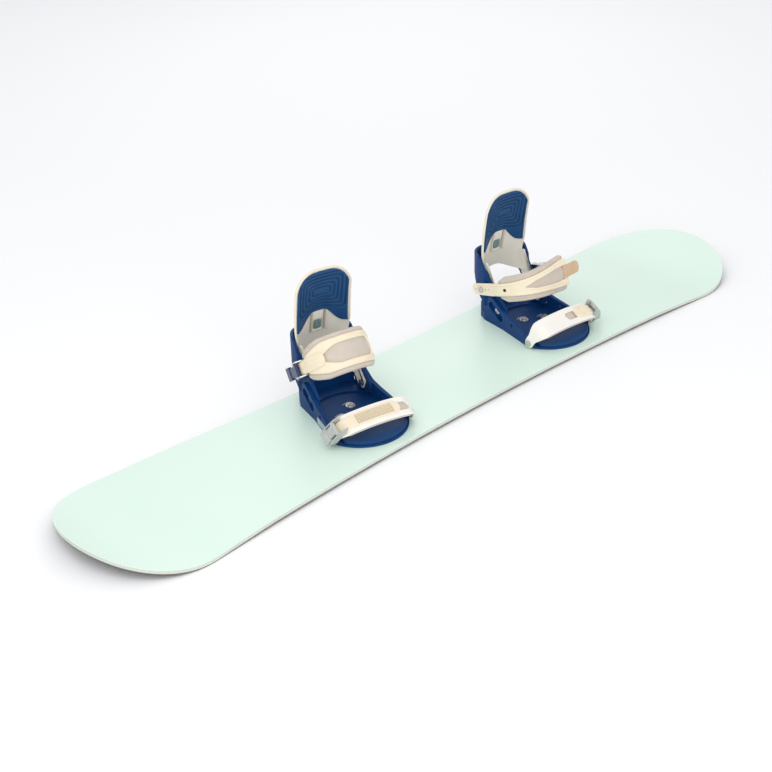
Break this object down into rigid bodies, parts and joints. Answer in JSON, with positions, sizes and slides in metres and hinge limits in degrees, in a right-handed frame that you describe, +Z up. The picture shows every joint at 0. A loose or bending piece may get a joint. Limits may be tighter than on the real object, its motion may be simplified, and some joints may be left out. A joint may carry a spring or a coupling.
{
  "type": "snowboard with bindings",
  "caption": "Snowboard with two strap bindings that have folding highbacks, swinging ankle and toe straps and ratchet buckles.",
  "frame": {"origin": "on the ground under the middle of the board, the bottom centre of the object's box", "axes": "+X along the board towards its tail, +Y towards the heel side, +Z up out of the topsheet"},
  "size_m": [1.5, 0.301, 0.2531],
  "materials": {
    "base_sheet": "sintered polyethylene running base",
    "edge_steel": "ground steel edge",
    "wood_core": "laminated poplar core",
    "sidewall_abs": "milled ABS sidewall",
    "mint_topsheet": "satin pale mint topsheet",
    "bright_steel": "zinc plated steel",
    "navy_plastic": "glass filled nylon, navy",
    "navy_rubber": "navy rubber ramp",
    "ivory_plastic": "moulded ivory nylon",
    "navy_foam": "moulded EVA foam, navy",
    "teal_plastic": "moulded grey teal nylon",
    "cream_plastic": "moulded cream polyurethane",
    "greige_padding": "foam padding in coated fabric",
    "white_metal": "bright aluminium buckle base",
    "navy_gloss": "glossy navy lever",
    "white_plastic": "moulded off-white polyurethane",
    "clear_plastic": "translucent polycarbonate"
  },
  "bodies": {
    "board": {"board_base": "base_sheet", "steel_edge": "edge_steel", "board_core": "wood_core", "board_sidewall": "sidewall_abs", "board_topsheet": "mint_topsheet", "binding_inserts": "bright_steel", "disc_screws": "bright_steel", "disc_washers": "bright_steel", "front_baseplate": "navy_plastic", "front_disc": "navy_plastic", "front_toe_ramp": "navy_rubber", "front_heel_hoop": "navy_plastic", "front_hoop_bolts": "bright_steel", "front_strap_bolts": "bright_steel", "rear_baseplate": "navy_plastic", "rear_disc": "navy_plastic", "rear_toe_ramp": "navy_rubber", "rear_heel_hoop": "navy_plastic", "rear_hoop_bolts": "bright_steel", "rear_strap_bolts": "bright_steel"},
    "front_highback_body": {"front_highback": "ivory_plastic", "front_highback_pad": "navy_foam", "front_lean_block": "ivory_plastic", "front_lean_clip": "teal_plastic"},
    "front_ankle_link": {"front_ankle_arm": "cream_plastic"},
    "front_ankle_strap": {"front_ankle_frame": "cream_plastic", "front_ankle_pad": "greige_padding", "front_ankle_ladder": "cream_plastic"},
    "front_ankle_buckle": {"front_ankle_buckle_base": "white_metal", "front_ankle_buckle_pins": "bright_steel"},
    "front_ankle_lever": {"front_ankle_buckle_lever": "navy_gloss"},
    "front_ankle_pawl": {"front_ankle_buckle_pawl": "bright_steel"},
    "front_toe_strap": {"front_toe_frame": "white_plastic", "front_toe_pad": "greige_padding", "front_toe_ladder": "cream_plastic", "front_toe_buckle_base": "clear_plastic", "front_toe_buckle_pins": "bright_steel"},
    "front_toe_lever": {"front_toe_buckle_lever": "clear_plastic"},
    "front_toe_pawl": {"front_toe_buckle_pawl": "bright_steel"},
    "rear_highback_body": {"rear_highback": "ivory_plastic", "rear_highback_pad": "navy_foam", "rear_lean_block": "ivory_plastic", "rear_lean_clip": "teal_plastic"},
    "rear_ankle_link": {"rear_ankle_arm": "cream_plastic"},
    "rear_ankle_strap": {"rear_ankle_frame": "cream_plastic", "rear_ankle_pad": "greige_padding", "rear_ankle_ladder": "cream_plastic"},
    "rear_ankle_buckle": {"rear_ankle_buckle_base": "white_metal", "rear_ankle_buckle_pins": "bright_steel"},
    "rear_ankle_lever": {"rear_ankle_buckle_lever": "navy_gloss"},
    "rear_ankle_pawl": {"rear_ankle_buckle_pawl": "bright_steel"},
    "rear_toe_strap": {"rear_toe_frame": "white_plastic", "rear_toe_pad": "greige_padding", "rear_toe_ladder": "cream_plastic", "rear_toe_buckle_base": "clear_plastic", "rear_toe_buckle_pins": "bright_steel"},
    "rear_toe_lever": {"rear_toe_buckle_lever": "clear_plastic"},
    "rear_toe_pawl": {"rear_toe_buckle_pawl": "bright_steel"}
  },
  "joints": [
    {"name": "front_highback_fold", "type": "hinge", "parent": "board", "child": "front_highback_body", "pos_m": [-0.18223, 0.04197, 0.04107], "axis": [0.9781, -0.2079, 0], "range_deg": [0, 19]},
    {"name": "front_ankle_swing", "type": "hinge", "parent": "board", "child": "front_ankle_link", "pos_m": [-0.17412, 0.08012, 0.07407], "axis": [0.9781, -0.2079, 0], "range_deg": [-8, 15]},
    {"name": "front_ankle_open", "type": "hinge", "parent": "front_ankle_link", "child": "front_ankle_strap", "pos_m": [-0.11973, 0.04117, 0.09501], "axis": [0.128, 0.6022, 0.788], "range_deg": [0, 90]},
    {"name": "front_ankle_buckle_swing", "type": "hinge", "parent": "board", "child": "front_ankle_buckle", "pos_m": [-0.17412, 0.08012, 0.07407], "axis": [0.9781, -0.2079, 0], "range_deg": [-8, 15]},
    {"name": "front_ankle_lever_lift", "type": "hinge", "parent": "front_ankle_buckle", "child": "front_ankle_lever", "pos_m": [-0.25009, 0.06566, 0.09747], "axis": [0.128, 0.6022, 0.788], "range_deg": [0, 60], "stiffness_Nm_per_rad": 0.05, "springref_deg": -11.46},
    {"name": "front_ankle_pawl_release", "type": "hinge", "parent": "front_ankle_buckle", "child": "front_ankle_pawl", "pos_m": [-0.24262, 0.08018, 0.08515], "axis": [-0.128, -0.6022, -0.788], "range_deg": [0, 12]},
    {"name": "front_toe_swing", "type": "hinge", "parent": "board", "child": "front_toe_strap", "pos_m": [-0.20447, -0.06269, 0.02307], "axis": [0.9781, -0.2079, 0], "range_deg": [-10, 15]},
    {"name": "front_toe_lever_lift", "type": "hinge", "parent": "front_toe_strap", "child": "front_toe_lever", "pos_m": [-0.2833, -0.06041, 0.04969], "axis": [0.1836, 0.8637, 0.4695], "range_deg": [0, 60], "stiffness_Nm_per_rad": 0.05, "springref_deg": -11.46},
    {"name": "front_toe_pawl_release", "type": "hinge", "parent": "front_toe_strap", "child": "front_toe_pawl", "pos_m": [-0.28457, -0.05174, 0.03425], "axis": [-0.1836, -0.8637, -0.4695], "range_deg": [0, 12]},
    {"name": "rear_highback_fold", "type": "hinge", "parent": "board", "child": "rear_highback_body", "pos_m": [0.2751, 0.04182, 0.04107], "axis": [0.9962, -0.0872, 0], "range_deg": [0, 27]},
    {"name": "rear_ankle_swing", "type": "hinge", "parent": "board", "child": "rear_ankle_link", "pos_m": [0.27849, 0.08067, 0.07407], "axis": [0.9962, -0.0872, 0], "range_deg": [-14, 6]},
    {"name": "rear_ankle_open", "type": "hinge", "parent": "rear_ankle_link", "child": "rear_ankle_strap", "pos_m": [0.2146, 0.05362, 0.08401], "axis": [-0.0255, -0.2913, -0.9563], "range_deg": [0, 90]},
    {"name": "rear_ankle_buckle_swing", "type": "hinge", "parent": "board", "child": "rear_ankle_buckle", "pos_m": [0.27849, 0.08067, 0.07407], "axis": [0.9962, -0.0872, 0], "range_deg": [-14, 1]},
    {"name": "rear_ankle_lever_lift", "type": "hinge", "parent": "rear_ankle_buckle", "child": "rear_ankle_lever", "pos_m": [0.34636, 0.03826, 0.08518], "axis": [-0.0255, -0.2913, -0.9563], "range_deg": [0, 60], "stiffness_Nm_per_rad": 0.05, "springref_deg": -11.46},
    {"name": "rear_ankle_pawl_release", "type": "hinge", "parent": "rear_ankle_buckle", "child": "rear_ankle_pawl", "pos_m": [0.34376, 0.05768, 0.07934], "axis": [0.0255, 0.2913, 0.9563], "range_deg": [0, 12]},
    {"name": "rear_toe_swing", "type": "hinge", "parent": "board", "child": "rear_toe_strap", "pos_m": [0.26577, -0.06477, 0.02307], "axis": [0.9962, -0.0872, 0], "range_deg": [-10, 15]},
    {"name": "rear_toe_lever_lift", "type": "hinge", "parent": "rear_toe_strap", "child": "rear_toe_lever", "pos_m": [0.34182, -0.08563, 0.04969], "axis": [-0.077, -0.8796, -0.4695], "range_deg": [0, 60], "stiffness_Nm_per_rad": 0.05, "springref_deg": -11.46},
    {"name": "rear_toe_pawl_release", "type": "hinge", "parent": "rear_toe_strap", "child": "rear_toe_pawl", "pos_m": [0.34556, -0.07772, 0.03425], "axis": [0.077, 0.8796, 0.4695], "range_deg": [0, 12]}
  ],
  "couplings": [
    {"joint": "front_ankle_pawl_release", "follows": "front_ankle_lever_lift", "ratio": 0.2},
    {"joint": "front_toe_pawl_release", "follows": "front_toe_lever_lift", "ratio": 0.2},
    {"joint": "front_ankle_buckle_swing", "follows": "front_ankle_swing", "ratio": 1},
    {"joint": "rear_ankle_pawl_release", "follows": "rear_ankle_lever_lift", "ratio": 0.2},
    {"joint": "rear_toe_pawl_release", "follows": "rear_toe_lever_lift", "ratio": 0.2}
  ]
}
